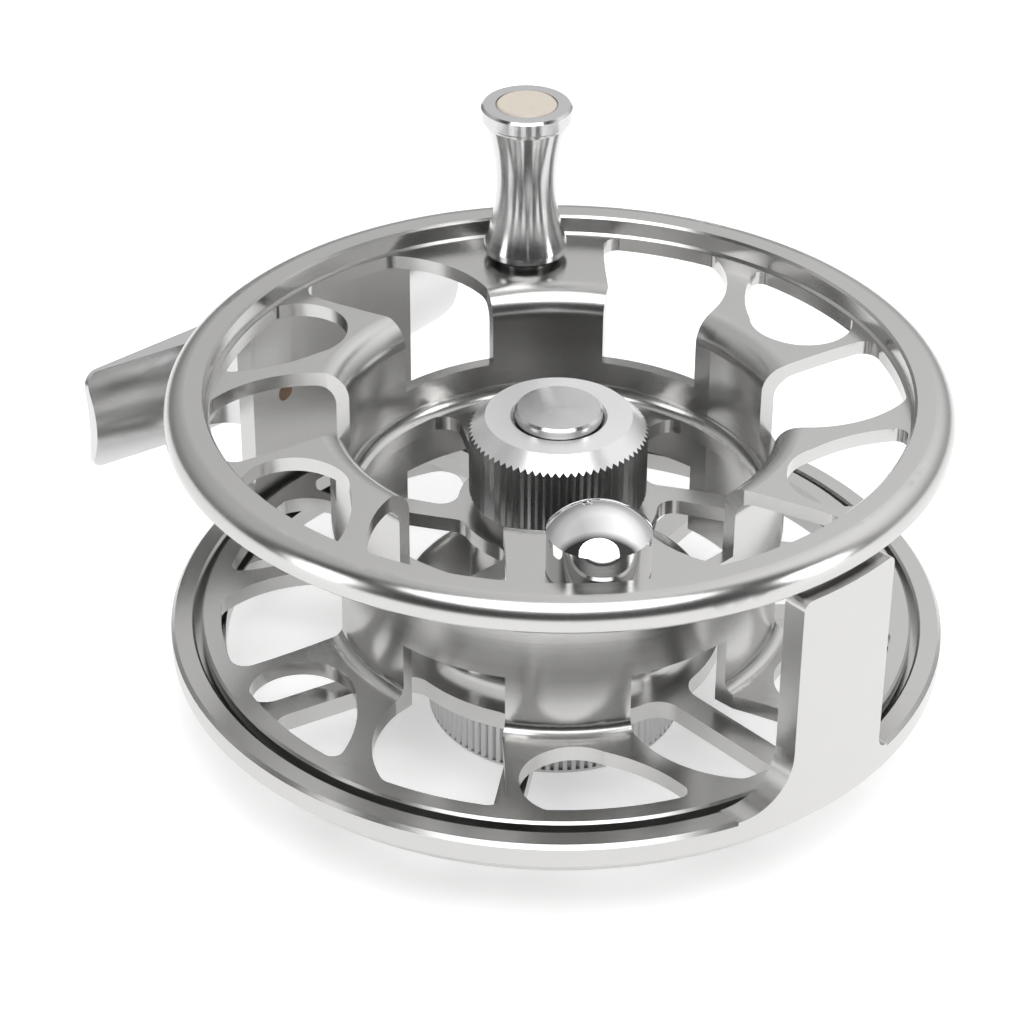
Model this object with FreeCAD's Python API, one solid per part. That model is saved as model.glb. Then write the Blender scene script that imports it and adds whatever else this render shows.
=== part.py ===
import FreeCAD, Part
import math
import os

from FreeCAD import Vector

# Fly reel. Millimetres, +Z up. The spool axis is Z, the drag knob's face rests on z = 0,
# and the reel foot points along +Y.

# spool
rimRadius = 47.5
rimInner = 42.5
rimTop = 47.3
rimBottom = 43.5
rimRound = 2.5
rimUndersideInner = 44.9
flangeTop = 44.7
flangeThickness = 1.8
arborRadius = 27.6
arborWall = 1.4
arborBore = arborRadius - arborWall
arborStep = 0.25
arborStepHeight = 28.1
flangeToBoreRound = 3.4
upperFillet = 2.5
lowerFillet = 1.6
beltBottom = 22.9
beltTop = 34.9
webTop = 30.0
webThickness = 1.9
webFillet = 1.6
webLand = 0.2
backFlangeRadius = 44.4
backFlangeTop = 15.3
backFlangeThickness = 2.0
spokeCount = 6
spokeAngle = 50.0
plainSpokes = (1, 2, 4, 5)
spokeHalfAngle = 15.6
windowOuter = 42.0
windowCorner = 2.0
webWindowInner = 12.3
webWindowOuter = 25.0
webSpokeHalfWidth = 1.5
webWindowCorner = 2.2
edgeBreak = 0.3
cutOver = 1.0

# spool windows and spoke holes: angles are from the middle of a spoke, pairs are (radius, angle)
windowOverlap = 2.0
windowShoulder = 29.0
windowOuterStart = 28.5
windowOuterMiddle = 38.0
windowOuterInset = 4.6
windowBowRadius = 35.4
windowBowStart = 4.0
windowBowEnd = 3.0
holeOuterStart = 19.4
holeOuterMiddle = 8.0
holeOuterEnd = -4.6
holeSideEnd = (36.2, -9.8)
holeInnerEnd = (31.0, -4.5)
holeInnerMiddle = (30.2, 1.2)
holeInnerStart = (31.6, 7.5)
holeSideStart = (36.0, 15.6)
holeCorner = 1.3
webInnerTurn = -19.5
webOuterTurn = -35.0
webInnerMiddle = 10.0
webOuterMiddle = -5.0
webBowRadius = 18.0
webBowStart = 26.0
webBowEnd = -24.0

# spool hub, with the boss that carries the release cap
hubOuter = 10.8
hubBottom = 18.9
bossRadius = 9.7
bossTop = 34.9
hubBoreTop = 32.6
hubClearance = 0.05
keyWidth = 3.0
keyHeight = 1.2
keyTop = 23.6
keyCount = 3

# latch and release button
latchThickness = 1.0
latchFloor = 33.2
latchHalfWidth = 4.0
latchLeft = -7.5
latchRight = 6.6
latchTravel = 0.9
latchPlay = 0.05
latchPocketEnd = 7.6
latchHoleRadius = 3.1
latchCoverRadius = 8.7
latchCoverThickness = 0.6
fingerWidth = 0.8
fingerHalfDepth = 1.2
fingerTip = 33.15
fingerKnee = 35.3
fingerKneeX = -4.2
fingerSlotLeft = -7.2
fingerSlotRight = -4.6
coverSlotLeft = -6.0
coverSlotRight = -3.4
capRadius = 10.9
capBottom = 31.8
capTop = 42.5
capFlatRadius = 8.95
capBore = 9.75
capCavityRadius = 8.4
capLid = 1.5
capRibs = 72
capRibDepth = 0.4
capRibShare = 0.85
buttonHole = 5.6
buttonRadius = 5.35
buttonTop = 43.6
buttonFlangeRadius = 6.9
buttonFlangeBottom = 40.0
buttonFlangeThickness = 0.9
buttonHollowRadius = 4.3
buttonHollowTop = 42.4
buttonSpringRadius = 6.3
buttonSpringWire = 0.25
buttonSpringTurns = 4.0
springPointsPerTurn = 16

# handle and counterweight
handleCircle = 36.8
handleAngle = 53.8
weightCircle = 36.5
handleBottom = 45.4
handleTop = 66.3
handleBaseRadius = 5.4
handleWaistRadius = 3.9
handleWaistHeight = 55.3
handleNeckRadius = 5.3
handleLipRadius = 5.84
handleLipHeight = 2.1
handleBaseHeight = 1.3
handleBore = 2.6
handlePostRadius = 2.2
handleShoulderRadius = 3.4
handleShoulderTop = 45.3
handleBushLength = 4.0
handleBushRadius = 3.2
handleRecessRadius = 4.0
handleRecessDepth = 3.2
handleCapRadius = 3.85
handleCapHeight = 1.3
handleScrewHeadRadius = 2.9
handleScrewHeadHeight = 0.7
handleScrewRadius = 1.1
handleScrewLength = 5.0
screwSlotWidth = 0.5
screwSlotDepth = 0.4
runningPlay = 0.05
weightRadius = 5.87
weightBottom = 44.7
weightShoulder = 50.0
weightDome = 2.6
flangeScrewHeadRadius = 2.8
flangeScrewHeadHeight = 0.9
flangeScrewRadius = 1.25
flangeScrewLength = 4.6
flangeScrewKey = 0.9
flangeScrewKeyFloor = 0.3

# frame
ringOuter = 48.2
ringInner = 45.3
ringBottom = 12.0
ringTop = 14.9
ringChamfer = 0.45
plateBottom = 10.0
plateTop = 12.4
plateOuter = 46.4
frameHubRadius = 20.8
frameSpokes = 7
frameSpokeAngle = 270.0
frameSpokeHalfWidth = 1.6
frameWindowOuter = 41.5
frameWindowCorner = 3.0
pinCircle = 9.0
pinRadius = 1.2
pinClearance = 0.05
pinCount = 3
pillarTop = 42.9
frontPillarHalfWidth = 7.4
frontPillarFilletLeft = 7.0
frontPillarFilletRight = 2.0
footPillarHalfWidth = 13.4
footPillarFillet = 5.0
pillarCornerRound = 1.2

# reel foot
footLength = 62.0
footWidth = 14.2
footHeight = 28.6
footFace = 56.0
footTipThickness = 1.6
footMiddleThickness = 4.0
footReelSideRadius = 12.0
saddleHalfLength = 10.5
saddleHalfWidth = 5.6
saddleFillet = 5.0
saddleRise = 1.4
footHollow = 1.0
footCorner = 2.2
footScrewSpacing = 14.0
footScrewRadius = 1.25
footScrewHeadRadius = 2.4
footScrewHeadHeight = 1.4
footScrewTip = 44.85
footScrewKey = 0.8
footScrewKeyDepth = 0.8
footScrewSink = 0.3

# spindle
spindleRadius = 3.0
spindleEnd = 1.15
spindleEndRadius = 2.0
spindleShoulder = 3.05
spindleTop = 36.2
spindleGrooveRadius = 2.1
spindleGrooveBottom = 33.1
spindleGrooveTop = 34.4
spindleFlangeRadius = 5.2
spindleFlangeTop = 13.4
spindleTip = 1.2
ringGrooveBottom = 31.85
ringGrooveTop = 32.2
ringGrooveRadius = 2.6
retainingRingRadius = 4.0
retainingRingGap = 2.4

# drag stack
coverRadius = 19.6
coverTop = 18.2
coverRound = 3.5
coverCavityRadius = 16.0
coverCavityTop = 16.5
coverBore = 4.4
coverScrewCircle = 17.8
coverScrewAngle = 30.0
coverScrewCount = 3
coverScrewRadius = 0.9
coverScrewHeadRadius = 1.5
coverScrewHeadHeight = 0.9
coverScrewTop = 14.6
coverScrewKey = 0.6
coverScrewKeyDepth = 0.5
washerInner = 8.4
washerOuter = 15.4
washerThickness = 0.6
dragDiscThickness = 1.1
pressurePlateInner = 5.6
pressurePlateBottom = 12.6
sleeveRadius = 4.0
sleeveBore = 3.05
sleeveTop = 28.6
pinBottom = 9.2

# drive hub, with its bearings and one-way clutch
hubTubeRadius = 7.6
hubTubeBore = 6.0
hubTubeBottom = 19.0
hubTubeTop = 31.9
bearingHeight = 3.0
bearingRaceWall = 0.55
bearingShieldDepth = 0.2
lowerBearingBottom = 19.2
upperBearingBottom = 28.8
clutchBottom = 22.4
clutchTop = 28.4
clutchRollers = 8
clutchRollerRadius = 0.6
clutchRollerSink = 0.25
clutchLip = 0.6

# drag knob, and what it presses
knobRadius = 16.1
knobHeight = 9.6
knobWall = 1.8
knobFloor = 2.0
knobHubRadius = 7.4
knobSocketFloor = 3.0
knobSocketTop = 5.6
knobRibs = 94
knobRibDepth = 0.35
knobRibShare = 0.5
knobRound = 0.8
knobRecessRadius = 4.0
knobRecessDepth = 1.2
nutHalfWidth = 4.8
nutBottom = 3.3
nutTop = 6.0
springInner = 3.4
springOuter = 7.0
springThickness = 0.45
thrustRingBottom = 8.4
thrustRingRadius = 10.6
thrustRingPlay = 0.3
knobScrewRadius = 1.1
knobScrewTop = 5.0
knobScrewHeadRadius = 3.6
spannerHoleRadius = 0.5
spannerHoleCircle = 2.2
spannerHoleDepth = 0.7

axisZ = Vector(0, 0, 1)
origin = Vector(0, 0, 0)


def polar(radius, angle, z=0.0):
    turn = math.radians(angle)
    return Vector(radius * math.cos(turn), radius * math.sin(turn), z)


def line(start, end):
    return Part.LineSegment(start, end).toShape()


def arc(start, middle, end):
    return Part.Arc(start, middle, end).toShape()


def profile(points):
    # points are (radius, z); a third value marks the middle point of an arc to the next point
    corners = [(Vector(p[0], 0, p[1]), len(p) == 3) for p in points]
    edges = []
    index = 0
    while index < len(corners):
        start = corners[index][0]
        after, isMiddle = corners[(index + 1) % len(corners)]
        if isMiddle:
            edges.append(arc(start, after, corners[(index + 2) % len(corners)][0]))
            index += 2
        else:
            edges.append(line(start, after))
            index += 1
    return Part.Face(Part.Wire(edges))


def turned(points):
    return profile(points).revolve(origin, axisZ, 360)


def arcMiddle(centreR, centreZ, radius, angle):
    turn = math.radians(angle)
    return (centreR + radius * math.cos(turn), centreZ + radius * math.sin(turn), "arc")


def cylinder(radius, bottom, top, x=0.0, y=0.0):
    return Part.makeCylinder(radius, top - bottom, Vector(x, y, bottom))


def tube(inner, outer, bottom, top, x=0.0, y=0.0):
    return cylinder(outer, bottom, top, x, y).cut(cylinder(inner, bottom, top, x, y))


def box(low, high):
    size = high - low
    return Part.makeBox(size.x, size.y, size.z, low)


def turnedCopies(shape, count, start=0.0):
    copies = []
    for index in range(count):
        copy = shape.copy()
        copy.rotate(origin, axisZ, start + 360.0 * index / count)
        copies.append(copy)
    return copies


def prism(edges, bottom, top):
    face = Part.Face(Part.Wire(edges))
    face.translate(Vector(0, 0, bottom))
    return face.extrude(Vector(0, 0, top - bottom))


def roundUpright(shape, places, radius):
    # rounds the upright edges of a prism that stand at the given plan positions
    chosen = []
    for edge in shape.Edges:
        first = edge.Vertexes[0].Point
        last = edge.Vertexes[-1].Point
        if abs(first.z - last.z) < 0.1:
            continue
        for place in places:
            if math.hypot(first.x - place.x, first.y - place.y) < 0.05:
                chosen.append(edge)
                break
    return shape.makeFillet(radius, chosen)


def spokeWindow(bottom, top):
    # the large opening between two spokes, drawn for the spoke at angle 0
    ccw = spokeHalfAngle
    cw = 360.0 / spokeCount - spokeHalfAngle
    innerReach = arborBore - windowOverlap
    a = polar(innerReach, ccw)
    b = polar(windowShoulder, ccw)
    c = polar(windowOuter, windowOuterStart)
    d = polar(windowOuter, cw + windowOuterInset)
    e = polar(windowShoulder, cw)
    f = polar(innerReach, cw)
    middleAngle = (ccw + cw) / 2
    edges = [
        line(a, b),
        arc(b, polar(windowBowRadius, ccw + windowBowStart), c),
        arc(c, polar(windowOuter, windowOuterMiddle), d),
        arc(d, polar(windowBowRadius, cw + windowBowEnd), e),
        line(e, f),
        arc(f, polar(innerReach, middleAngle), a),
    ]
    cutter = prism(edges, bottom, top)
    return roundUpright(cutter, [c, d], windowCorner)


def teardropHole(bottom, top):
    # the smaller opening inside a spoke, drawn for the spoke at angle 0
    a = polar(windowOuter, holeOuterStart)
    b = polar(windowOuter, holeOuterEnd)
    c = polar(*holeInnerEnd)
    d = polar(*holeInnerStart)
    edges = [
        arc(a, polar(windowOuter, holeOuterMiddle), b),
        arc(b, polar(*holeSideEnd), c),
        arc(c, polar(*holeInnerMiddle), d),
        arc(d, polar(*holeSideStart), a),
    ]
    cutter = prism(edges, bottom, top)
    return roundUpright(cutter, [a, b], holeCorner)


def webWindow(bottom, top):
    # an opening of the web inside the arbor; its spokes lean as they go outwards
    innerHalf = math.degrees(webSpokeHalfWidth / webWindowInner)
    outerHalf = math.degrees(webSpokeHalfWidth / webWindowOuter)
    pitch = 360.0 / spokeCount
    a = polar(webWindowInner, webInnerTurn + innerHalf)
    b = polar(webWindowInner, webInnerTurn + pitch - innerHalf)
    c = polar(webWindowOuter, webOuterTurn + pitch - outerHalf)
    d = polar(webWindowOuter, webOuterTurn + outerHalf)
    edges = [
        arc(a, polar(webWindowInner, webInnerMiddle), b),
        arc(b, polar(webBowRadius, webBowStart), c),
        arc(c, polar(webWindowOuter, webOuterMiddle), d),
        arc(d, polar(webBowRadius, webBowEnd), a),
    ]
    cutter = prism(edges, bottom, top)
    return roundUpright(cutter, [a, b, c, d], webWindowCorner)


def makeSpoolRim():
    # the front flange with its rim, and the arbor above the step
    flangeBottom = flangeTop - flangeThickness
    upperRadius = arborRadius + arborStep
    rimShoulder = rimTop - rimRound
    body = turned([
        (arborBore, arborStepHeight),
        (arborRadius, arborStepHeight),
        (upperRadius, arborStepHeight + arborStep),
        (upperRadius, flangeBottom - upperFillet),
        arcMiddle(upperRadius + upperFillet, flangeBottom - upperFillet, upperFillet, 135),
        (upperRadius + upperFillet, flangeBottom),
        (rimUndersideInner, flangeBottom),
        (rimUndersideInner + rimBottom - flangeBottom, rimBottom),
        (rimRadius - 2 * edgeBreak, rimBottom),
        (rimRadius, rimBottom + 2 * edgeBreak),
        (rimRadius, rimShoulder),
        arcMiddle(rimRadius - rimRound, rimShoulder, rimRound, 45),
        (rimRadius - rimRound, rimTop),
        (rimInner + edgeBreak, rimTop),
        (rimInner, rimTop - edgeBreak),
        (rimInner, flangeTop + edgeBreak),
        (rimInner - edgeBreak, flangeTop),
        (arborBore + flangeToBoreRound, flangeTop),
        arcMiddle(arborBore + flangeToBoreRound, flangeTop - flangeToBoreRound, flangeToBoreRound, 135),
        (arborBore, flangeTop - flangeToBoreRound),
    ])
    cutters = turnedCopies(spokeWindow(beltTop, rimTop), spokeCount, spokeAngle)
    spokeHole = teardropHole(flangeBottom - cutOver, flangeTop + cutOver)
    for index in plainSpokes:
        hole = spokeHole.copy()
        hole.rotate(origin, axisZ, spokeAngle + 360.0 / spokeCount * index)
        cutters.append(hole)
    cutters += handleHoles(flangeBottom)
    for cutter in cutters:
        body = body.cut(cutter)
    return body


def makeSpoolBack():
    # the back flange, and the arbor below the step
    backBottom = backFlangeTop - backFlangeThickness
    body = turned([
        (arborBore, backBottom),
        (backFlangeRadius - edgeBreak, backBottom),
        (backFlangeRadius, backBottom + edgeBreak),
        (backFlangeRadius, backFlangeTop - edgeBreak),
        (backFlangeRadius - edgeBreak, backFlangeTop),
        (arborRadius + lowerFillet, backFlangeTop),
        arcMiddle(arborRadius + lowerFillet, backFlangeTop + lowerFillet, lowerFillet, 225),
        (arborRadius, backFlangeTop + lowerFillet),
        (arborRadius, arborStepHeight),
        (arborBore, arborStepHeight),
    ])
    cutters = turnedCopies(spokeWindow(backBottom - cutOver, beltBottom), spokeCount, spokeAngle)
    spokeHole = teardropHole(backBottom - cutOver, backFlangeTop + cutOver)
    cutters += turnedCopies(spokeHole, spokeCount, spokeAngle)
    for cutter in cutters:
        body = body.cut(cutter)
    return body


def makeSpoolWeb():
    # the spoked web inside the arbor, with the hub and the boss for the release cap
    webBottom = webTop - webThickness
    tubeBore = hubTubeRadius + hubClearance
    filletCentre = arborBore - webLand - webFillet
    body = turned([
        (tubeBore, hubBottom),
        (hubOuter, hubBottom),
        (hubOuter, webBottom),
        (arborBore, webBottom),
        (arborBore, webTop + webFillet),
        (arborBore - webLand, webTop + webFillet),
        arcMiddle(filletCentre, webTop + webFillet, webFillet, 315),
        (filletCentre, webTop),
        (bossRadius, webTop),
        (bossRadius, bossTop),
        (latchCoverRadius + runningPlay, bossTop),
        (latchCoverRadius + runningPlay, bossTop - latchCoverThickness),
        (latchHoleRadius + latchPlay, bossTop - latchCoverThickness),
        (latchHoleRadius + latchPlay, hubBoreTop),
        (tubeBore, hubBoreTop),
    ])
    cutters = turnedCopies(webWindow(webBottom - cutOver, webTop + cutOver), spokeCount, spokeAngle)
    cutters.append(latchPocket())
    keyReach = hubTubeRadius + keyHeight + hubClearance
    keyHalf = keyWidth / 2 + hubClearance
    keyway = box(Vector(0, -keyHalf, hubBottom - cutOver), Vector(keyReach, keyHalf, keyTop + 0.2))
    cutters += turnedCopies(keyway, keyCount)
    for cutter in cutters:
        body = body.cut(cutter)
    return body


def handleHoles(flangeBottom):
    post = polar(handleCircle, handleAngle)
    weight = polar(weightCircle, handleAngle + 180.0)
    top = flangeTop + cutOver
    holes = []
    for place in (post, weight):
        holes.append(cylinder(flangeScrewRadius, flangeBottom - cutOver, top, place.x, place.y))
    return holes


def latchPocket():
    ceiling = bossTop - latchCoverThickness
    low = Vector(-latchPocketEnd, -latchHalfWidth - latchPlay, latchFloor)
    high = Vector(latchPocketEnd, latchHalfWidth + latchPlay, ceiling)
    pocket = box(low, high)
    depth = fingerHalfDepth + 2 * latchPlay
    slotLow = Vector(fingerSlotLeft, -depth, hubBoreTop - 0.1)
    slotHigh = Vector(fingerSlotRight, depth, latchFloor + 0.1)
    slot = box(slotLow, slotHigh)
    return pocket.fuse(slot)


def ribGroove(radius, depth, count, share, bottom, top):
    # one upright V groove of a straight knurl, at angle 0; share is its part of the pitch
    half = math.radians(180.0 / count) * share
    outer = radius + 0.5
    spread = half * (depth + 0.5) / depth
    tip = Vector(radius - depth, 0, 0)
    left = Vector(outer * math.cos(spread), outer * math.sin(spread), 0)
    right = Vector(left.x, -left.y, 0)
    return prism([line(tip, right), line(right, left), line(left, tip)], bottom, top)


def makeReleaseCap():
    chamfer = capRadius - capFlatRadius
    body = turned([
        (capBore, capBottom),
        (capRadius - edgeBreak, capBottom),
        (capRadius, capBottom + edgeBreak),
        (capRadius, capTop - chamfer),
        (capFlatRadius, capTop),
        (buttonHole + edgeBreak, capTop),
        (buttonHole, capTop - edgeBreak),
        (buttonHole, capTop - capLid),
        (capCavityRadius, capTop - capLid),
        (capCavityRadius, bossTop + runningPlay),
        (capBore, bossTop + runningPlay),
    ])
    groove = ribGroove(capRadius, capRibDepth, capRibs, capRibShare, capBottom - cutOver, capTop + cutOver)
    return body.cut(Part.makeCompound(turnedCopies(groove, capRibs)))


def slantedBar(width, depth, bottom, top, kneeX, kneeZ):
    # a bar that leans 45 degrees in the XZ plane and meets x = kneeX at z = kneeZ
    def at(z, side):
        return Vector(kneeX + z - kneeZ + side * width / 2, -depth, z)
    corners = [at(bottom, -1), at(bottom, 1), at(top, 1), at(top, -1)]
    wire = Part.makePolygon(corners + [corners[0]])
    return Part.Face(wire).extrude(Vector(0, 2 * depth, 0))


def makePushButton():
    flangeTopZ = buttonFlangeBottom + buttonFlangeThickness
    body = turned([
        (buttonHollowRadius, buttonFlangeBottom),
        (buttonFlangeRadius, buttonFlangeBottom),
        (buttonFlangeRadius, flangeTopZ),
        (buttonRadius, flangeTopZ),
        (buttonRadius, buttonTop - edgeBreak),
        (buttonRadius - edgeBreak, buttonTop),
        (0, buttonTop),
        (0, buttonHollowTop),
        (buttonHollowRadius, buttonHollowTop),
    ])
    legLow = Vector(fingerKneeX - 1.0, -fingerHalfDepth, fingerKnee)
    legHigh = Vector(fingerKneeX + fingerWidth / 2, fingerHalfDepth, buttonHollowTop + 0.2)
    leg = box(legLow, legHigh)
    finger = slantedBar(fingerWidth, fingerHalfDepth, fingerTip, fingerKnee, fingerKneeX, fingerKnee)
    return body.fuse([leg, finger]).removeSplitter()


def makeButtonSpring():
    bottom = bossTop + buttonSpringWire + runningPlay
    top = buttonFlangeBottom - buttonSpringWire - runningPlay
    pointCount = int(springPointsPerTurn * buttonSpringTurns)
    points = []
    for index in range(pointCount + 1):
        part = index / pointCount
        turn = 360 * buttonSpringTurns * part
        points.append(polar(buttonSpringRadius, turn, bottom + (top - bottom) * part))
    coil = Part.BSplineCurve()
    coil.interpolate(points)
    start = coil.tangent(coil.FirstParameter)[0]
    section = Part.Wire(Part.makeCircle(buttonSpringWire, points[0], start))
    return Part.Wire([coil.toShape()]).makePipeShell([section], True, True)


def makeSpoolLatch():
    bottom = latchFloor + latchPlay
    top = bottom + latchThickness
    plate = box(Vector(latchLeft, -latchHalfWidth, bottom), Vector(latchRight, latchHalfWidth, top))
    hole = cylinder(latchHoleRadius, bottom - cutOver, top + cutOver, -latchTravel, 0.0)
    window = slantedBar(
        fingerWidth + 2 * latchPlay,
        fingerHalfDepth + latchPlay,
        bottom - 0.5,
        top + 0.5,
        fingerKneeX,
        fingerKnee,
    )
    return plate.cut(hole).cut(window)


def makeLatchCover():
    bottom = bossTop - latchCoverThickness
    disc = cylinder(latchCoverRadius, bottom, bossTop)
    hole = cylinder(latchHoleRadius + latchPlay, bottom, bossTop)
    depth = fingerHalfDepth + 2 * latchPlay
    slot = box(Vector(coverSlotLeft, -depth, bottom), Vector(coverSlotRight, depth, bossTop))
    return disc.cut(hole).cut(slot)


def makeHandleKnob():
    lipBottom = handleTop - handleLipHeight
    baseTop = handleBottom + handleBaseHeight
    recessFloor = handleTop - handleRecessDepth
    body = turned([
        (handleBushRadius, handleBottom),
        (handleBaseRadius - 0.5, handleBottom),
        (handleBaseRadius, handleBottom + 0.5),
        (handleBaseRadius, baseTop),
        (handleWaistRadius, handleWaistHeight, "arc"),
        (handleNeckRadius, lipBottom - 0.4),
        (handleNeckRadius, lipBottom),
        (handleLipRadius - edgeBreak, lipBottom),
        (handleLipRadius, lipBottom + edgeBreak),
        (handleLipRadius, handleTop - edgeBreak),
        (handleLipRadius - edgeBreak, handleTop),
        (handleRecessRadius, handleTop),
        (handleRecessRadius, recessFloor),
        (handleBushRadius, recessFloor),
        (handleBushRadius, recessFloor - handleBushLength),
        (handleBore, recessFloor - handleBushLength),
        (handleBore, handleBottom + handleBushLength),
        (handleBushRadius, handleBottom + handleBushLength),
    ])
    return placedAtHandle(body)


def placedAtHandle(shape):
    moved = shape.copy()
    moved.translate(polar(handleCircle, handleAngle))
    return moved


def placedAtWeight(shape):
    moved = shape.copy()
    moved.translate(polar(weightCircle, handleAngle + 180.0))
    return moved


def handleBush(bottom):
    top = bottom + handleBushLength
    return tube(handlePostRadius + runningPlay, handleBushRadius, bottom, top)


def makeHandleBushes():
    lower = handleBush(handleBottom)
    upper = handleBush(handleTop - handleRecessDepth - handleBushLength)
    return Part.makeCompound([placedAtHandle(lower), placedAtHandle(upper)])


def makeHandlePost():
    socketTop = flangeTop - flangeThickness + flangeScrewLength
    postTop = handlePostTop()
    tappedBottom = postTop - handleScrewLength
    body = turned([
        (0, socketTop),
        (flangeScrewRadius, socketTop),
        (flangeScrewRadius, flangeTop),
        (handleShoulderRadius, flangeTop),
        (handleShoulderRadius, handleShoulderTop),
        (handlePostRadius, handleShoulderTop),
        (handlePostRadius, postTop),
        (handleScrewRadius, postTop),
        (handleScrewRadius, tappedBottom),
        (0, tappedBottom),
    ])
    return placedAtHandle(body)


def handlePostTop():
    return handleTop - handleRecessDepth + runningPlay


def makeHandleScrew():
    seat = handlePostTop()
    headTop = seat + handleScrewHeadHeight
    head = cylinder(handleScrewHeadRadius, seat, headTop)
    stem = cylinder(handleScrewRadius, seat - handleScrewLength, seat)
    slotFloor = headTop - screwSlotDepth
    slotHalf = screwSlotWidth / 2
    low = Vector(-handleScrewHeadRadius, -slotHalf, slotFloor)
    slot = box(low, Vector(handleScrewHeadRadius, slotHalf, headTop))
    return placedAtHandle(head.fuse(stem).cut(slot))


def makeHandleCap():
    bottom = handleTop - handleCapHeight + 0.2
    top = handleTop + 0.15
    body = turned([
        (0, bottom),
        (handleRecessRadius, bottom),
        (handleRecessRadius, bottom + 0.6),
        (handleCapRadius, bottom + 0.6),
        (handleCapRadius, top - 0.2),
        (handleCapRadius - 0.2, top),
        (0, top),
    ])
    return placedAtHandle(body)


def makeCounterweight():
    domeRadius = (weightRadius ** 2 + weightDome ** 2) / (2 * weightDome)
    centreZ = weightShoulder + weightDome - domeRadius
    lean = math.degrees(math.asin(weightRadius / domeRadius)) / 2
    flangeBottom = flangeTop - flangeThickness
    socketTop = flangeBottom + flangeScrewLength
    body = turned([
        (flangeScrewRadius, weightBottom),
        (weightRadius - edgeBreak, weightBottom),
        (weightRadius, weightBottom + edgeBreak),
        (weightRadius, weightShoulder),
        arcMiddle(0, centreZ, domeRadius, 90 - lean),
        (0, weightShoulder + weightDome),
        (0, socketTop),
        (flangeScrewRadius, socketTop),
    ])
    return placedAtWeight(body)


def makeFlangeScrews():
    flangeBottom = flangeTop - flangeThickness
    head = cylinder(flangeScrewHeadRadius, flangeBottom - flangeScrewHeadHeight, flangeBottom)
    headBottom = flangeBottom - flangeScrewHeadHeight
    hexKey = prismHexagon(flangeScrewKey, headBottom, flangeBottom - flangeScrewKeyFloor)
    stem = cylinder(flangeScrewRadius, flangeBottom, flangeBottom + flangeScrewLength)
    screw = head.cut(hexKey).fuse(stem)
    return Part.makeCompound([placedAtHandle(screw), placedAtWeight(screw)])


def prismHexagon(apothem, bottom, top):
    corners = [polar(apothem / math.cos(math.pi / 6), 60.0 * index) for index in range(6)]
    edges = [line(corners[index], corners[(index + 1) % 6]) for index in range(6)]
    return prism(edges, bottom, top)


def makeFrame():
    body = turned([
        (spindleRadius, plateBottom),
        (plateOuter, plateBottom),
        (ringOuter, ringBottom),
        (ringOuter, ringTop - ringChamfer),
        (ringOuter - ringChamfer, ringTop),
        (ringInner + edgeBreak, ringTop),
        (ringInner, ringTop - edgeBreak),
        (ringInner, plateTop),
        (spindleRadius, plateTop),
    ])
    body = body.cut(Part.makeCompound(turnedCopies(frameWindow(), frameSpokes, frameSpokeAngle)))
    body = body.fuse([makeFrontPillar(), makeFootPillar()]).removeSplitter()
    for x in footScrewPlaces():
        hole = alongY(footScrewRadius, x, ringInner - 4.0, ringOuter + 2.0)
        body = body.cut(hole)
    holes = []
    headTop = plateBottom + coverScrewHeadHeight
    for centre in coverScrewPlaces():
        holes.append(cylinder(coverScrewRadius, plateBottom, plateTop, centre.x, centre.y))
        holes.append(cylinder(coverScrewHeadRadius, plateBottom, headTop, centre.x, centre.y))
    pinHole = cylinder(pinRadius + pinClearance, plateBottom, plateTop, pinCircle, 0.0)
    holes += turnedCopies(pinHole, pinCount)
    for hole in holes:
        body = body.cut(hole)
    return body


def frameWindow():
    pitch = 360.0 / frameSpokes
    innerRadius = frameHubRadius
    innerHalf = math.degrees(frameSpokeHalfWidth / innerRadius)
    outerHalf = math.degrees(frameSpokeHalfWidth / frameWindowOuter)
    a = polar(innerRadius, innerHalf)
    b = polar(frameWindowOuter, outerHalf)
    c = polar(frameWindowOuter, pitch - outerHalf)
    d = polar(innerRadius, pitch - innerHalf)
    edges = [
        line(a, b),
        arc(b, polar(frameWindowOuter, pitch / 2), c),
        line(c, d),
        arc(d, polar(innerRadius, pitch / 2), a),
    ]
    cutter = prism(edges, plateBottom - cutOver, plateTop + cutOver)
    return roundUpright(cutter, [a, b, c, d], frameWindowCorner)


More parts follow.
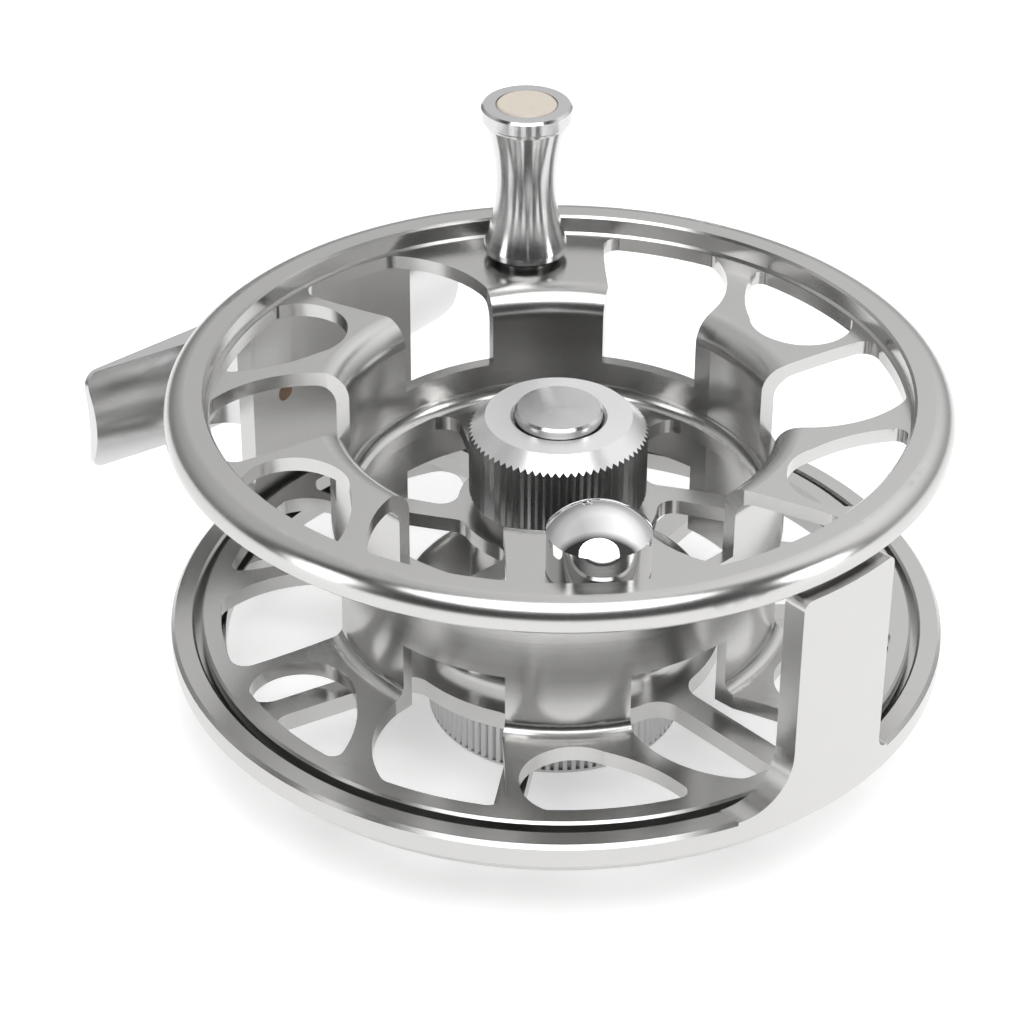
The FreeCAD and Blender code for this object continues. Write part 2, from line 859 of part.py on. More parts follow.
def pillarWall(leftX, rightX, leftFillet, rightFillet, direction):
    # a wall that follows the ring, with a sweeping fillet down to it on each side
    base = ringTop - ringChamfer - 0.6
    foot = ringTop
    corner = pillarCornerRound
    corner45 = corner * (1 - math.sqrt(0.5))
    left45 = leftFillet * (1 - math.sqrt(0.5))
    right45 = rightFillet * (1 - math.sqrt(0.5))

    def at(x, z):
        return Vector(x, 0, z)
    edges = [
        line(at(leftX - leftFillet, base), at(rightX + rightFillet, base)),
        line(at(rightX + rightFillet, base), at(rightX + rightFillet, foot)),
        arc(
            at(rightX + rightFillet, foot),
            at(rightX + right45, foot + right45),
            at(rightX, foot + rightFillet),
        ),
        line(at(rightX, foot + rightFillet), at(rightX, pillarTop - corner)),
        arc(
            at(rightX, pillarTop - corner),
            at(rightX - corner45, pillarTop - corner45),
            at(rightX - corner, pillarTop),
        ),
        line(at(rightX - corner, pillarTop), at(leftX + corner, pillarTop)),
        arc(
            at(leftX + corner, pillarTop),
            at(leftX + corner45, pillarTop - corner45),
            at(leftX, pillarTop - corner),
        ),
        line(at(leftX, pillarTop - corner), at(leftX, foot + leftFillet)),
        arc(
            at(leftX, foot + leftFillet),
            at(leftX - left45, foot + left45),
            at(leftX - leftFillet, foot),
        ),
        line(at(leftX - leftFillet, foot), at(leftX - leftFillet, base)),
    ]
    slab = Part.Face(Part.Wire(edges)).extrude(Vector(0, direction * 60.0, 0))
    return slab.common(tube(ringInner, ringOuter, base, pillarTop))


def makeFrontPillar():
    return pillarWall(
        -frontPillarHalfWidth,
        frontPillarHalfWidth,
        frontPillarFilletLeft,
        frontPillarFilletRight,
        -1.0,
    )


def makeFootPillar():
    return pillarWall(
        -footPillarHalfWidth,
        footPillarHalfWidth,
        footPillarFillet,
        footPillarFillet,
        1.0,
    )


def footScrewPlaces():
    return (-footScrewSpacing / 2, footScrewSpacing / 2)


def footSection(x, thickness):
    # the crescent across the foot: hollow towards the rod, round towards the reel
    half = footWidth / 2
    rodSide = footFace - footHollow
    reelSide = rodSide - thickness
    reelEdge = reelSide + footReelSideRadius - math.sqrt(footReelSideRadius ** 2 - half ** 2)

    def at(y, side):
        return Vector(x, y, footHeight + side * half)
    return Part.Wire([
        arc(at(reelEdge, -1), at(reelSide, 0), at(reelEdge, 1)),
        line(at(reelEdge, 1), at(footFace, 1)),
        arc(at(footFace, 1), at(rodSide, 0), at(footFace, -1)),
        line(at(footFace, -1), at(reelEdge, -1)),
    ])


def footPlate():
    tip = footLength / 2
    shoulder = saddleHalfLength + saddleFillet
    return Part.makeLoft([
        footSection(-tip, footTipThickness),
        footSection(-shoulder, footMiddleThickness),
        footSection(shoulder, footMiddleThickness),
        footSection(tip, footTipThickness),
    ], True, True)


def footSaddle():
    # the block between the foot's plate and the frame, with a sweeping fillet at each end
    saddle = saddleHalfLength
    fillet = saddleFillet
    f45 = fillet * (1 - math.sqrt(0.5))
    seatY = ringInner + 1.0
    topY = footFace - 2 * footHollow
    filletY = footFace - footHollow - footMiddleThickness + saddleRise

    def at(x, y):
        return Vector(x, y, 0)
    outline = [
        line(at(-saddle - fillet, topY), at(saddle + fillet, topY)),
        line(at(saddle + fillet, topY), at(saddle + fillet, filletY)),
        arc(
            at(saddle + fillet, filletY),
            at(saddle + f45, filletY - f45),
            at(saddle, filletY - fillet),
        ),
        line(at(saddle, filletY - fillet), at(saddle, seatY)),
        line(at(saddle, seatY), at(-saddle, seatY)),
        line(at(-saddle, seatY), at(-saddle, filletY - fillet)),
        arc(
            at(-saddle, filletY - fillet),
            at(-saddle - f45, filletY - f45),
            at(-saddle - fillet, filletY),
        ),
        line(at(-saddle - fillet, filletY), at(-saddle - fillet, topY)),
    ]
    return prism(outline, footHeight - saddleHalfWidth, footHeight + saddleHalfWidth)


def alongY(radius, x, start, end):
    return Part.makeCylinder(radius, end - start, Vector(x, start, footHeight), Vector(0, 1, 0))


def makeReelFoot():
    low = footHeight - footWidth / 2
    high = footHeight + footWidth / 2
    half = footLength / 2
    foot = footPlate().fuse(footSaddle()).removeSplitter()
    foot = foot.cut(cylinder(ringOuter, low - cutOver, high + cutOver))
    for end in (-1.0, 1.0):
        for side in (-1.0, 1.0):
            foot = foot.cut(cornerCutter(end * half, footHeight + side * footWidth / 2, end, side))
    headSeat = footScrewSeat()
    for x in footScrewPlaces():
        hole = alongY(footScrewRadius, x, ringInner, footFace)
        head = alongY(footScrewHeadRadius, x, headSeat, footFace)
        foot = foot.cut(hole.fuse(head))
    return foot


def cornerCutter(x, z, end, side):
    # removes what lies outside a rounded corner of the foot, seen along Y
    r = footCorner
    block = box(
        Vector(min(x, x - end * r), 40.0, min(z, z - side * r)),
        Vector(max(x, x - end * r), 70.0, max(z, z - side * r)),
    )
    keep = Part.makeCylinder(r, 30.0, Vector(x - end * r, 40.0, z - side * r), Vector(0, 1, 0))
    return block.cut(keep)


def footScrewSeat():
    return footFace - footHollow - footScrewHeadHeight


def makeFootScrews():
    screws = []
    seat = footScrewSeat()
    headTop = seat + footScrewHeadHeight - footScrewSink
    for x in footScrewPlaces():
        stem = alongY(footScrewRadius, x, footScrewTip, seat)
        head = alongY(footScrewHeadRadius, x, seat, headTop)
        socket = prismHexagon(footScrewKey, 0, footScrewKeyDepth)
        socket.rotate(origin, Vector(1, 0, 0), -90)
        socket.translate(Vector(x, headTop - footScrewKeyDepth, footHeight))
        screws.append(stem.fuse(head).cut(socket))
    return Part.makeCompound(screws)


def makeSpindle():
    return turned([
        (knobScrewRadius, spindleEnd),
        (spindleEndRadius, spindleEnd),
        (spindleEndRadius, spindleShoulder),
        (spindleRadius, spindleShoulder),
        (spindleRadius, plateTop),
        (spindleFlangeRadius, plateTop),
        (spindleFlangeRadius, spindleFlangeTop),
        (spindleRadius, spindleFlangeTop),
        (spindleRadius, ringGrooveBottom),
        (ringGrooveRadius, ringGrooveBottom),
        (ringGrooveRadius, ringGrooveTop),
        (spindleRadius, ringGrooveTop),
        (spindleRadius, spindleGrooveBottom),
        (spindleGrooveRadius, spindleGrooveBottom),
        (spindleGrooveRadius, spindleGrooveTop),
        (spindleRadius, spindleGrooveTop),
        (spindleRadius, spindleTop - spindleTip),
        (spindleRadius - spindleTip, spindleTop),
        (0, spindleTop),
        (0, knobScrewTop),
        (knobScrewRadius, knobScrewTop),
    ])


def makeRetainingRing():
    ring = tube(ringGrooveRadius, retainingRingRadius, ringGrooveBottom, ringGrooveTop)
    gapLow = Vector(0, -retainingRingGap / 2, ringGrooveBottom)
    gap = box(gapLow, Vector(retainingRingRadius, retainingRingGap / 2, ringGrooveTop))
    return ring.cut(gap)


def coverScrewPlaces():
    step = 360.0 / coverScrewCount
    return [polar(coverScrewCircle, coverScrewAngle + step * index) for index in range(coverScrewCount)]


def makeDragCover():
    body = turned([
        (coverCavityRadius, plateTop),
        (coverRadius, plateTop),
        (coverRadius, coverTop - coverRound),
        arcMiddle(coverRadius - coverRound, coverTop - coverRound, coverRound, 45),
        (coverRadius - coverRound, coverTop),
        (coverBore, coverTop),
        (coverBore, coverCavityTop),
        (coverCavityRadius, coverCavityTop),
    ])
    for centre in coverScrewPlaces():
        body = body.cut(cylinder(coverScrewRadius, plateTop, coverScrewTop, centre.x, centre.y))
    return body


def makeCoverScrews():
    screws = []
    headTop = plateBottom + coverScrewHeadHeight
    for centre in coverScrewPlaces():
        head = cylinder(coverScrewHeadRadius, plateBottom, headTop, centre.x, centre.y)
        stem = cylinder(coverScrewRadius, headTop, coverScrewTop, centre.x, centre.y)
        socket = prismHexagon(coverScrewKey, plateBottom, plateBottom + coverScrewKeyDepth)
        socket.translate(Vector(centre.x, centre.y, 0))
        screws.append(head.fuse(stem).cut(socket))
    return Part.makeCompound(screws)


def upperWasherBottom():
    return coverCavityTop - washerThickness


def dragDiscBottom():
    return upperWasherBottom() - dragDiscThickness


def pressurePlateTop():
    return dragDiscBottom() - washerThickness


def makeUpperDragWasher():
    return tube(washerInner, washerOuter, upperWasherBottom(), coverCavityTop)


def makeDragDisc():
    return tube(sleeveRadius, washerOuter, dragDiscBottom(), upperWasherBottom())


def makeLowerDragWasher():
    return tube(washerInner, washerOuter, pressurePlateTop(), dragDiscBottom())


def makePressurePlate():
    return tube(pressurePlateInner, washerOuter, pressurePlateBottom, pressurePlateTop())


def makePushPins():
    pin = cylinder(pinRadius, pinBottom, pressurePlateBottom, pinCircle, 0.0)
    return Part.makeCompound(turnedCopies(pin, pinCount))


def makeDragSleeve():
    return tube(sleeveBore, sleeveRadius, dragDiscBottom(), sleeveTop)


def makeDriveHub():
    body = tube(hubTubeBore, hubTubeRadius, hubTubeBottom, hubTubeTop)
    key = box(
        Vector(hubTubeBore + 0.4, -keyWidth / 2, hubTubeBottom),
        Vector(hubTubeRadius + keyHeight, keyWidth / 2, keyTop),
    )
    return body.fuse(turnedCopies(key, keyCount)).removeSplitter()


def bearing(inner, outer, bottom):
    # a shielded ball bearing: two races, with the shields set back between them
    top = bottom + bearingHeight
    innerWall = inner + bearingRaceWall
    outerWall = outer - bearingRaceWall
    return turned([
        (inner, bottom),
        (innerWall, bottom),
        (innerWall, bottom + bearingShieldDepth),
        (outerWall, bottom + bearingShieldDepth),
        (outerWall, bottom),
        (outer, bottom),
        (outer, top),
        (outerWall, top),
        (outerWall, top - bearingShieldDepth),
        (innerWall, top - bearingShieldDepth),
        (innerWall, top),
        (inner, top),
    ])


def makeLowerBearing():
    return bearing(sleeveRadius + runningPlay, hubTubeBore, lowerBearingBottom)


def makeUpperBearing():
    return bearing(spindleRadius + runningPlay, hubTubeBore, upperBearingBottom)


def makeOneWayClutch():
    # drawn cup with its rollers standing just proud of the inside
    rollerCircle = sleeveRadius + runningPlay + clutchRollerRadius
    cup = tube(rollerCircle - clutchRollerSink, hubTubeBore, clutchBottom, clutchTop)
    rollerBottom = clutchBottom + clutchLip
    roller = cylinder(clutchRollerRadius, rollerBottom, clutchTop - clutchLip, rollerCircle, 0.0)
    return cup.fuse(turnedCopies(roller, clutchRollers))


def makeDragKnob():
    body = turned([
        (spindleEndRadius + runningPlay, knobRecessDepth),
        (knobRecessRadius, knobRecessDepth),
        (knobRecessRadius, 0),
        (knobRadius - knobRound, 0),
        arcMiddle(knobRadius - knobRound, knobRound, knobRound, 315),
        (knobRadius, knobRound),
        (knobRadius, knobHeight - edgeBreak),
        (knobRadius - edgeBreak, knobHeight),
        (knobRadius - knobWall, knobHeight),
        (knobRadius - knobWall, knobFloor),
        (knobHubRadius, knobFloor),
        (knobHubRadius, knobSocketTop),
        (spindleEndRadius + runningPlay, knobSocketTop),
    ])
    socket = prismHexagon(nutHalfWidth + runningPlay, knobSocketFloor, knobSocketTop)
    grooves = turnedCopies(knobGroove(), knobRibs)
    return body.cut(socket).cut(Part.makeCompound(grooves))


def knobGroove():
    return ribGroove(knobRadius, knobRibDepth, knobRibs, knobRibShare, knobRound, knobHeight + cutOver)


def makeKnobScrew():
    screw = cylinder(knobScrewHeadRadius, 0, spindleEnd)
    screw = screw.fuse(cylinder(knobScrewRadius, spindleEnd, knobScrewTop))
    for x in (-spannerHoleCircle, spannerHoleCircle):
        screw = screw.cut(cylinder(spannerHoleRadius, 0, spannerHoleDepth, x, 0.0))
    return screw


def makeThrustNut():
    body = prismHexagon(nutHalfWidth, nutBottom, nutTop)
    return body.cut(cylinder(spindleRadius + runningPlay, nutBottom, nutTop))


def makeThrustRing():
    return tube(spindleRadius + thrustRingPlay, thrustRingRadius, thrustRingBottom, pinBottom)


def makeDragSprings():
    # two cupped spring washers, rim to rim
    middle = (nutTop + thrustRingBottom) / 2
    lower = turned([
        (springInner, nutTop),
        (springInner + springThickness, nutTop),
        (springOuter, middle - springThickness),
        (springOuter, middle),
        (springOuter - springThickness, middle),
        (springInner, nutTop + springThickness),
    ])
    upper = turned([
        (springInner, thrustRingBottom - springThickness),
        (springOuter - springThickness, middle),
        (springOuter, middle),
        (springOuter, middle + springThickness),
        (springInner + springThickness, thrustRingBottom),
        (springInner, thrustRingBottom),
    ])
    return Part.makeCompound([lower, upper])


makers = {
    "frame": makeFrame,
    "reel_foot": makeReelFoot,
    "foot_screws": makeFootScrews,
    "spindle": makeSpindle,
    "hub_retaining_ring": makeRetainingRing,
    "drag_cover": makeDragCover,
    "drag_cover_screws": makeCoverScrews,
    "upper_drag_washer": makeUpperDragWasher,
    "drag_disc": makeDragDisc,
    "lower_drag_washer": makeLowerDragWasher,
    "pressure_plate": makePressurePlate,
    "push_pins": makePushPins,
    "drag_sleeve": makeDragSleeve,
    "drive_hub": makeDriveHub,
    "lower_bearing": makeLowerBearing,
    "one_way_clutch": makeOneWayClutch,
    "upper_bearing": makeUpperBearing,
    "spool_rim": makeSpoolRim,
    "spool_back": makeSpoolBack,
    "spool_web": makeSpoolWeb,
    "release_cap": makeReleaseCap,
    "latch_cover": makeLatchCover,
    "spool_latch": makeSpoolLatch,
    "push_button": makePushButton,
    "button_spring": makeButtonSpring,
    "handle_post": makeHandlePost,
    "handle_screw": makeHandleScrew,
    "handle_knob": makeHandleKnob,
    "handle_bushes": makeHandleBushes,
    "handle_end_cap": makeHandleCap,
    "counterweight": makeCounterweight,
    "flange_screws": makeFlangeScrews,
    "drag_knob": makeDragKnob,
    "knob_screw": makeKnobScrew,
    "thrust_nut": makeThrustNut,
    "drag_springs": makeDragSprings,
    "thrust_ring": makeThrustRing,
}

os.makedirs("parts", exist_ok=True)
for name, maker in makers.items():
    maker().exportStep("parts/" + name + ".step")
    print("made", name)
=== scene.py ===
import math

import bmesh
import bpy
from mathutils import Matrix, Vector


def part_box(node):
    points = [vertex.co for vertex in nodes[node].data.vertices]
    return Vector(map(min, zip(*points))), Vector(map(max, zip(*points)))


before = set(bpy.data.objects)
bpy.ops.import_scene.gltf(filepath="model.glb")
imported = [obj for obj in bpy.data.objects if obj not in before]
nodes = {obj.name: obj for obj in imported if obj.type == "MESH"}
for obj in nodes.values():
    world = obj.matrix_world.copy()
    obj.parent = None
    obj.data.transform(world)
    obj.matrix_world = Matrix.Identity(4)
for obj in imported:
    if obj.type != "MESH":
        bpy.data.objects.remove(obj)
scene = bpy.context.scene
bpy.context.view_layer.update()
print("frame loaded,", len(nodes), "nodes")


class Wire:
    # one socket of a node tree, with arithmetic
    def __init__(self, tree, socket=None):
        self.tree = tree
        self.socket = socket

    def add(self, kind, settings, sockets, out=0):
        # any node: its settings first, then values or links for its sockets
        made = self.tree.nodes.new(kind)
        for name, value in settings.items():
            if name == "stops":
                fillRamp(made.color_ramp, value)
            else:
                setattr(made, name, value)
        plug(made, sockets)
        return Wire(self.tree, made.outputs[out])

    def maths(self, operation, first, second):
        return self.add("ShaderNodeMath", {"operation": operation}, {0: first, 1: second})

    def __add__(self, other):
        return self.maths("ADD", self, other)

    __radd__ = __add__

    def __mul__(self, other):
        return self.maths("MULTIPLY", self, other)

    __rmul__ = __mul__

    def __sub__(self, other):
        return self.maths("SUBTRACT", self, other)

    def __rsub__(self, other):
        return self.maths("SUBTRACT", other, self)

    def squeeze(self, low, high, newLow=0.0, newHigh=1.0):
        sockets = {0: self, 1: low, 2: high, 3: newLow, 4: newHigh}
        return self.add("ShaderNodeMapRange", {"clamp": True}, sockets)


def plug(node, sockets):
    # a wire is linked, anything else is set on the socket itself
    for name, value in sockets.items():
        if isinstance(value, Wire):
            value.tree.links.new(value.socket, node.inputs[name])
        else:
            node.inputs[name].default_value = value


def fillRamp(ramp, stops):
    while len(ramp.elements) < len(stops):
        ramp.elements.new(0.5)
    for element, (place, colour) in zip(ramp.elements, stops):
        element.position = place
        element.color = colour


def newFinish(name):
    finish = bpy.data.materials.new(name)
    finish.use_nodes = True
    tree = finish.node_tree
    return finish, Wire(tree), tree.nodes["Principled BSDF"]


def grey(value, tint=0.0):
    # a tint below zero is warm
    return (value, value + tint * 0.3, value + tint, 1.0)


def mixed(base, factor, first, second):
    # a colour between two colours
    return base.add("ShaderNodeMix", {"data_type": "RGBA"}, {0: factor, 6: first, 7: second}, 2)


def noise(base, place, scale, detail=3.0, rough=0.5):
    sockets = {"Vector": place, "Scale": scale, "Detail": detail, "Roughness": rough}
    return base.add("ShaderNodeTexNoise", {"noise_dimensions": "3D"}, sockets)


def stretched(base, place, scale, turn=(0.0, 0.0, 0.0)):
    sockets = {"Vector": place, "Rotation": turn, "Scale": scale}
    return base.add("ShaderNodeMapping", {"vector_type": "POINT"}, sockets)


def bumped(base, strength, height):
    # the grain stands 0.02 mm proud at full strength
    sockets = {"Strength": strength, "Distance": 0.00002, "Height": height}
    return base.add("ShaderNodeBump", {}, sockets)


def toneOf(fine, fineShare, cloud, cloudShare):
    # two noises about one half make one tone from 0 to 1
    return ((fine - 0.5) * fineShare + (cloud - 0.5) * cloudShare + 0.5).squeeze(0.0, 1.0)


def objectPlace(base):
    return base.add("ShaderNodeTexCoord", {}, {}, 3)


def turnedPlace(base, centre):
    # (radius, 0, height) about an upright axis, so that noise on it makes rings
    shifted = base.add("ShaderNodeVectorMath", {"operation": "SUBTRACT"}, {0: objectPlace(base), 1: centre})
    flat = base.add("ShaderNodeVectorMath", {"operation": "MULTIPLY"}, {0: shifted, 1: (1, 1, 0)})
    radius = base.add("ShaderNodeVectorMath", {"operation": "LENGTH"}, {0: flat}, 1)
    height = base.add("ShaderNodeSeparateXYZ", {}, {0: shifted}, 2)
    return base.add("ShaderNodeCombineXYZ", {}, {0: radius, 1: 0.0, 2: height})


turnedDetail = {
    "fineRough": 0.7, "coarseShare": 0.12, "coarseBump": 0.5,
    "cloudScale": 60.0, "cloudRough": 0.03,
    "scratchTurn": (0.3, 0.2, 0.7), "scratchScale": (40.0, 900.0, 500.0),
    "scratchFrom": 0.70, "scratchTo": 0.80, "scratchRough": 0.04,
}


def turnedMetal(name, look, centre=(0.0, 0.0, 0.0)):
    # metal with fine lathe rings, soft stains and a few light scratches
    finish, base, shader = newFinish(name)
    detail = turnedDetail
    rings = turnedPlace(base, centre)
    place = objectPlace(base)
    fine = noise(base, rings, look["ringScale"], 4.0, detail["fineRough"])
    coarse = noise(base, rings, look["ringScale"] * detail["coarseShare"], 2.0)
    cloud = noise(base, place, detail["cloudScale"])
    scratched = stretched(base, place, detail["scratchScale"], detail["scratchTurn"])
    scratch = noise(base, scratched, 1.0, 2.0).squeeze(detail["scratchFrom"], detail["scratchTo"])
    tone = toneOf(fine, look["ringTone"], cloud, look["cloudTone"])
    rough = (fine - 0.5) * look["ringRough"] + (coarse - 0.5) * look["ringRough"]
    rough = rough + (cloud - 0.5) * detail["cloudRough"] + scratch * detail["scratchRough"]
    plug(shader, {
        "Base Color": mixed(base, tone, look["dark"], look["bright"]),
        "Roughness": rough + look["rough"], "Metallic": 1.0,
        "Normal": bumped(base, look["bump"], fine + coarse * detail["coarseBump"]),
        "Anisotropic": look["brush"], "Anisotropic Rotation": look["grain"],
    })
    return finish


# the lighter painted top begins where the surface leans this far up
litTopShadedSideDetail = {"fineRough": 0.7, "cloudScale": 60.0, "topFrom": 0.15, "topTo": 0.45}


def litTopShadedSideMetal(name, look):
    # satin on the faces that look up, which get a lighter colour as a painted highlight; the side faces,
    # ribs and grooves alike, get a darker colour as painted shade
    finish, base, shader = newFinish(name)
    detail = litTopShadedSideDetail
    rings = turnedPlace(base, (0.0, 0.0, 0.0))
    facing = base.add("ShaderNodeNewGeometry", {}, {}, 1)
    upright = base.add("ShaderNodeSeparateXYZ", {}, {0: facing}, 2)
    litTopShare = upright.squeeze(detail["topFrom"], detail["topTo"])
    fine = noise(base, rings, look["ringScale"], 4.0, detail["fineRough"])
    cloud = noise(base, objectPlace(base), detail["cloudScale"])
    tone = toneOf(fine, look["ringTone"], cloud, look["cloudTone"])
    # painted shade on every side face and a painted highlight on the faces that look up, mixed by how far
    # the surface looks up
    side = mixed(base, tone, look["shadedSideDark"], look["shadedSideBright"])
    litTopColour = mixed(base, tone, look["dark"], look["bright"])
    rough = (fine - 0.5) * look["ringRough"] + litTopShare * look["topRough"]
    plug(shader, {
        "Base Color": mixed(base, litTopShare, side, litTopColour),
        "Roughness": rough + look["rough"], "Metallic": 1.0,
        "Normal": bumped(base, look["bump"], fine),
        "Anisotropic": look["brush"], "Anisotropic Rotation": look["grain"],
    })
    return finish


straightDetail = {
    "stretch": (30.0, 1500.0, 1500.0), "lineRough": 0.6, "cloudScale": 70.0, "cloudRough": 0.05,
}


def straightMetal(name, look):
    # metal brushed along X
    finish, base, shader = newFinish(name)
    detail = straightDetail
    place = objectPlace(base)
    lines = noise(base, stretched(base, place, detail["stretch"]), 1.0, 3.0, detail["lineRough"])
    cloud = noise(base, place, detail["cloudScale"])
    tone = toneOf(lines, look["ringTone"], cloud, look["cloudTone"])
    rough = (lines - 0.5) * look["ringRough"] + (cloud - 0.5) * detail["cloudRough"]
    plug(shader, {
        "Base Color": mixed(base, tone, look["dark"], look["bright"]),
        "Roughness": rough + look["rough"], "Metallic": 1.0,
        "Normal": bumped(base, look["bump"], lines),
    })
    return finish


plainDetail = {"grainRough": 0.6, "cloudScale": 90.0, "cloudTone": 0.3, "roughSpread": 0.15}


def plainSolid(name, look):
    # plastic, fibre or bare metal with a fine mottle
    finish, base, shader = newFinish(name)
    detail = plainDetail
    place = objectPlace(base)
    grain = noise(base, place, look["grainScale"], 4.0, detail["grainRough"])
    cloud = noise(base, place, detail["cloudScale"], 2.0)
    tone = toneOf(grain, look["grainTone"], cloud, detail["cloudTone"])
    plug(shader, {
        "Base Color": mixed(base, tone, look["dark"], look["bright"]),
        "Roughness": (grain - 0.5) * detail["roughSpread"] + look["rough"],
        "Metallic": look["metal"], "Normal": bumped(base, look["bump"], grain),
    })
    return finish


satinLook = {
    "ringScale": 9000.0, "ringTone": 0.35, "cloudTone": 0.15, "ringRough": 0.06, "rough": 0.22,
    "dark": grey(0.46, -0.012), "bright": grey(0.60, -0.012), "bump": 0.06, "brush": 0.45, "grain": 0.25,
}
fieldLook = dict(satinLook, rough=0.24)
polishedLook = dict(
    satinLook, rough=0.13, ringTone=0.2, ringRough=0.03, bump=0.015, brush=0.2,
    dark=grey(0.58), bright=grey(0.66),
)
footLook = dict(polishedLook, rough=0.24)
handleLook = dict(polishedLook, rough=0.18, brush=0.6)
ribLook = dict(
    satinLook, rough=0.30, cloudTone=0.05, brush=0.2, bump=0.0, dark=grey(0.46), bright=grey(0.56),
)
# one aluminium in two colours: the top colours are a painted highlight, the side colours painted shade
capLitTopShadedSideLook = dict(
    satinLook, rough=0.22, topRough=0.14, cloudTone=0.1, brush=0.4, bump=0.05,
    dark=grey(0.78), bright=grey(0.90), shadedSideDark=grey(0.30), shadedSideBright=grey(0.42),
)
buttonLook = dict(
    satinLook, rough=0.22, ringTone=0.6, bump=0.15, brush=0.75, dark=grey(0.56), bright=grey(0.68),
)
chromeLook = dict(
    satinLook, rough=0.03, ringTone=0.1, ringRough=0.02, cloudTone=0.1, bump=0.0, brush=0.0,
    dark=grey(0.78), bright=grey(0.82),
)
steelLook = dict(satinLook, rough=0.28, dark=grey(0.42), bright=grey(0.54), brush=0.2)
copperLook = dict(satinLook, rough=0.30, dark=(0.20, 0.13, 0.09, 1), bright=(0.36, 0.25, 0.18, 1), brush=0.0)
brassLook = dict(copperLook, dark=(0.50, 0.35, 0.17, 1), bright=(0.66, 0.50, 0.26, 1))
ivoryLook = {
    "grainScale": 1800.0, "grainTone": 0.7, "dark": (0.54, 0.48, 0.41, 1),
    "bright": (0.68, 0.62, 0.54, 1), "bump": 0.15, "rough": 0.38, "metal": 0.0,
}
carbonLook = {
    "grainScale": 1400.0, "grainTone": 0.8, "dark": grey(0.015), "bright": grey(0.05),
    "bump": 0.3, "rough": 0.5, "metal": 0.0,
}
springLook = {
    "grainScale": 1500.0, "grainTone": 0.6, "dark": grey(0.30), "bright": grey(0.45),
    "bump": 0.1, "rough": 0.28, "metal": 1.0,
}


def centreOf(name):
    low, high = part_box(name)
    return tuple((low + high) / 2)


finishes = {
    "frame": turnedMetal("frameAluminium", fieldLook),
    "spool": turnedMetal("spoolAluminium", satinLook),
    "foot": straightMetal("footAluminium", footLook),
    "cover": turnedMetal("coverAluminium", fieldLook),
    "hub": turnedMetal("hubAluminium", fieldLook),
    "cap": litTopShadedSideMetal("capAluminiumPaintedLight", capLitTopShadedSideLook),
    "button": turnedMetal("buttonAluminium", buttonLook),
    "knob": turnedMetal("knobAluminium", ribLook),
    "handle": turnedMetal("handleAluminium", handleLook, centreOf("handle_knob")),
    "weight": turnedMetal("weightChrome", chromeLook, centreOf("counterweight")),
    "steel": turnedMetal("turnedSteel", steelLook),
    "copper": straightMetal("copperPlate", copperLook),
    "brass": turnedMetal("turnedBrass", brassLook),
    "ivory": plainSolid("ivoryPlastic", ivoryLook),
    "carbon": plainSolid("carbonWasher", carbonLook),
    "spring": plainSolid("springSteel", springLook),
}
finishOf = {
    "frame": "frame", "reel_foot": "foot", "foot_screws": "copper", "spindle": "steel",
    "hub_retaining_ring": "spring", "drag_cover": "cover", "drag_cover_screws": "steel",
    "upper_drag_washer": "carbon", "drag_disc": "steel", "lower_drag_washer": "carbon",
    "pressure_plate": "cover", "push_pins": "steel", "drag_sleeve": "steel", "drive_hub": "hub",
    "lower_bearing": "steel", "one_way_clutch": "steel", "upper_bearing": "steel",
    "spool_rim": "spool", "spool_back": "spool", "spool_web": "spool", "release_cap": "cap",
    "latch_cover": "cover", "spool_latch": "steel", "push_button": "button",
    "button_spring": "spring", "handle_post": "steel", "handle_screw": "steel",
    "handle_knob": "handle", "handle_bushes": "brass", "handle_end_cap": "ivory",
    "counterweight": "weight", "flange_screws": "steel", "drag_knob": "knob",
    "knob_screw": "steel", "thrust_nut": "brass", "drag_springs": "spring", "thrust_ring": "steel",
}
for name, node in nodes.items():
    node.data.materials.clear()
    node.data.materials.append(finishes[finishOf[name]])
print("finishes made,", len(finishes))


# soft broken edges on the machined pieces, in metres
edgeBreaks = {
    "spool_rim": 0.00022, "spool_back": 0.00018, "frame": 0.00025, "reel_foot": 0.00030,
    "release_cap": 0.00006, "drag_knob": 0.00006, "drive_hub": 0.00015, "counterweight": 0.00010,
}
edgeShape = {"segments": 2, "sharpestAngle": 35.0}
for name, width in edgeBreaks.items():
    bevel = nodes[name].modifiers.new("edgeBreak", "BEVEL")
    bevel.width = width
    bevel.segments = edgeShape["segments"]
    bevel.limit_method = "ANGLE"
    bevel.angle_limit = math.radians(edgeShape["sharpestAngle"])
    bevel.harden_normals = False
    bevel.use_clamp_overlap = True
print("edges broken on", len(edgeBreaks), "pieces")


paper = {
    "reach": 3.0, "corners": 96, "mottle": 30.0, "dark": grey(0.90), "bright": grey(0.93),
    "rough": 0.7, "glow": 0.36,
}
plate = bmesh.new()
bmesh.ops.create_circle(plate, cap_ends=True, radius=paper["reach"], segments=paper["corners"])
floorMesh = bpy.data.meshes.new("studioFloor")
plate.to_mesh(floorMesh)
plate.free()
studioFloor = bpy.data.objects.new("studioFloor", floorMesh)
scene.collection.objects.link(studioFloor)
floorFinish, floorBase, floorShader = newFinish("floorPaper")
mottle = noise(floorBase, objectPlace(floorBase), paper["mottle"])
plug(floorShader, {
    "Base Color": mixed(floorBase, mottle, paper["dark"], paper["bright"]), "Roughness": paper["rough"],
    "Emission Color": grey(1.0), "Emission Strength": paper["glow"],
})
floorMesh.materials.append(floorFinish)


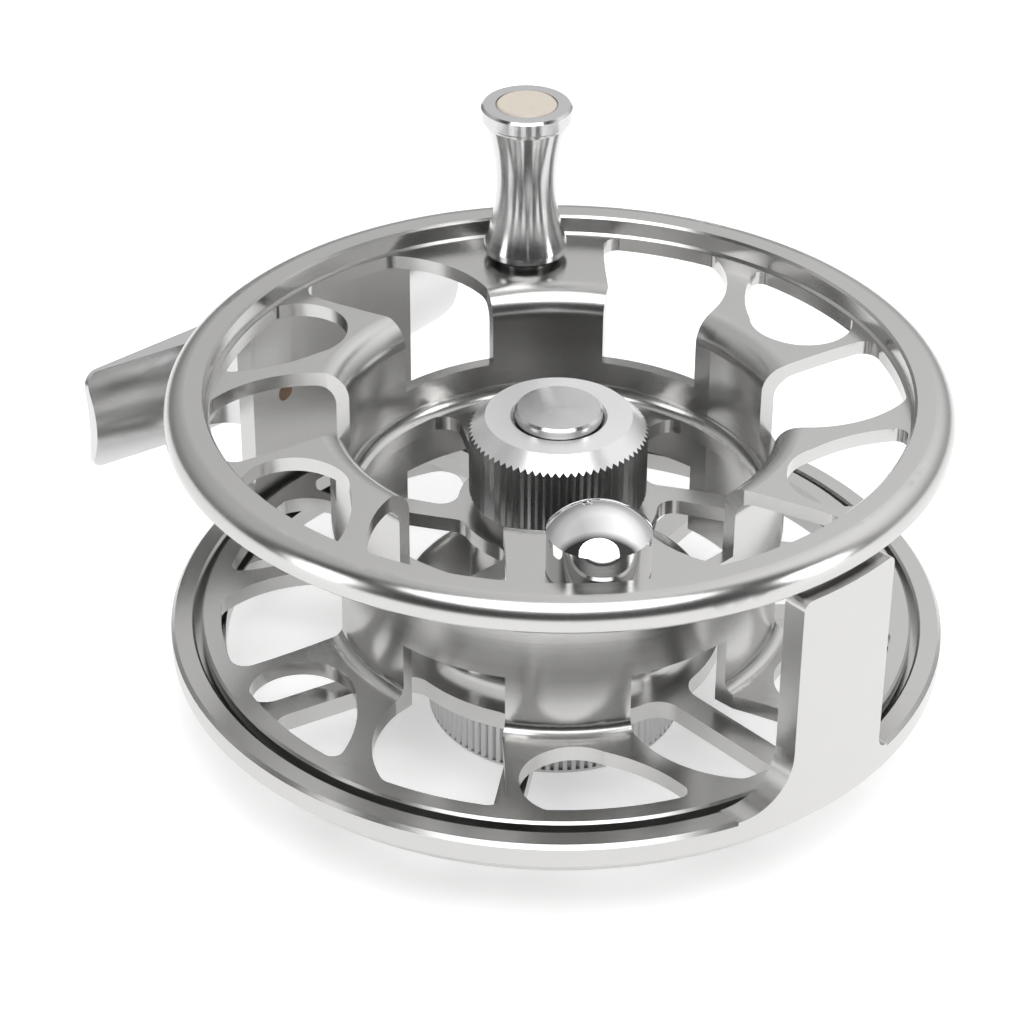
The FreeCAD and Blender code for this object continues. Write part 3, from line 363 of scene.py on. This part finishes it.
# turn, rise and roll in degrees, lens and sensor in millimetres, the rest in metres
viewpoint = {
    "turn": -42.5, "rise": 33.2205, "roll": 0.370, "distance": 0.379216,
    "aim": (-0.004118, 0.003773, 0.02848), "lens": 108.03, "sensor": 36.0, "near": 0.01, "far": 20.0,
}
turn = math.radians(viewpoint["turn"])
rise = math.radians(viewpoint["rise"])
back = Vector((math.sin(turn) * math.cos(rise), -math.cos(turn) * math.cos(rise), math.sin(rise)))
lens = bpy.data.cameras.new("studioCamera")
lens.lens = viewpoint["lens"]
lens.sensor_width = viewpoint["sensor"]
lens.clip_start = viewpoint["near"]
lens.clip_end = viewpoint["far"]
camera = bpy.data.objects.new("studioCamera", lens)
scene.collection.objects.link(camera)
camera.rotation_mode = "QUATERNION"
camera.location = Vector(viewpoint["aim"]) + back * viewpoint["distance"]
level = (-back).to_track_quat("-Z", "Y")
camera.rotation_quaternion = level @ Matrix.Rotation(math.radians(viewpoint["roll"]), 3, "Z").to_quaternion()
scene.camera = camera


lampAim = Vector((0.0, 0.0, 0.03))
softboxes = {
    "overhead": {"place": (-0.32, -0.35, 0.95), "size": (1.2, 0.8), "power": 9.0},
    "left": {"place": (-0.95, 0.30, 0.30), "size": (0.35, 0.8), "power": 2.2},
    "right": {"place": (0.50, -0.90, 0.35), "size": (0.35, 0.7), "power": 3.0},
}
for name, box in softboxes.items():
    light = bpy.data.lights.new(name, "AREA")
    light.shape = "ELLIPSE"
    light.size, light.size_y = box["size"]
    light.energy = box["power"]
    lamp = bpy.data.objects.new(name, light)
    scene.collection.objects.link(lamp)
    lamp.location = box["place"]
    lamp.rotation_mode = "QUATERNION"
    lamp.rotation_quaternion = (lampAim - lamp.location).to_track_quat("-Z", "Y")


# from straight down to straight up, level at one half
wallStops = [
    (0.0, grey(0.8)), (0.50, grey(0.40)), (0.62, grey(0.55)),
    (0.70, grey(0.82)), (0.84, grey(1.10)), (1.0, grey(1.0)),
]
# the far wall is lit, the near wall is dark, and the right side is a little brighter
wallSides = {
    "far": {"way": (-math.sin(turn), math.cos(turn), 0.0), "span": (-0.10, 0.15), "gain": (0.06, 1.0)},
    "right": {"way": (math.cos(turn), math.sin(turn), 0.0), "span": (-0.35, 0.35), "gain": (0.65, 1.2)},
}


def wallGain(base, heading, side):
    along = base.add("ShaderNodeVectorMath", {"operation": "DOT_PRODUCT"}, {0: heading, 1: side["way"]}, 1)
    return along.squeeze(*side["span"], *side["gain"])


room = bpy.data.worlds.new("studioRoom")
scene.world = room
room.use_nodes = True
roomBase = Wire(room.node_tree)
heading = roomBase.add("ShaderNodeTexCoord", {}, {}, 0)
upward = roomBase.add("ShaderNodeSeparateXYZ", {}, {0: heading}, 2)
farGain = wallGain(roomBase, heading, wallSides["far"])
rightGain = wallGain(roomBase, heading, wallSides["right"])
plug(room.node_tree.nodes["Background"], {
    "Color": roomBase.add("ShaderNodeValToRGB", {"stops": wallStops}, {0: upward.squeeze(-1.0, 1.0)}),
    "Strength": farGain * rightGain,
})
scene.view_settings.view_transform = "Standard"
print("stage, camera and lights made")
